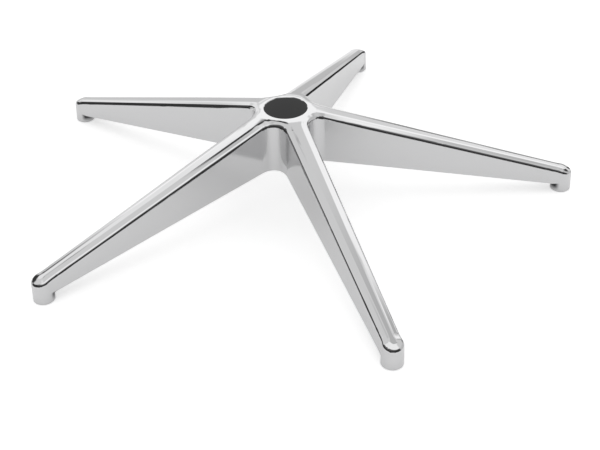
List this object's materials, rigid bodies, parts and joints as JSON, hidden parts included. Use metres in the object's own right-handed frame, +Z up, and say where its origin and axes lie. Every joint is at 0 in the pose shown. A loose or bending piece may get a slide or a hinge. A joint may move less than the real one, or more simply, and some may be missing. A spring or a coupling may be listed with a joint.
{
  "type": "office chair base",
  "caption": "Star-shaped office chair base, a polished aluminium casting with a tapered hub bore and a caster socket in a round boss at each leg's end.",
  "frame": {"origin": "centre of the gas-lift bore's mouth on the hub's top face", "axes": "+Z up along the bore, out of its mouth; +X along one leg; the floor of the bosses is 119 mm below"},
  "size_m": [0.6175, 0.648, 0.119],
  "materials": {
    "polished_aluminium": "polished"
  },
  "bodies": {
    "root": {"five_star_base": "polished_aluminium"}
  },
  "joints": []
}
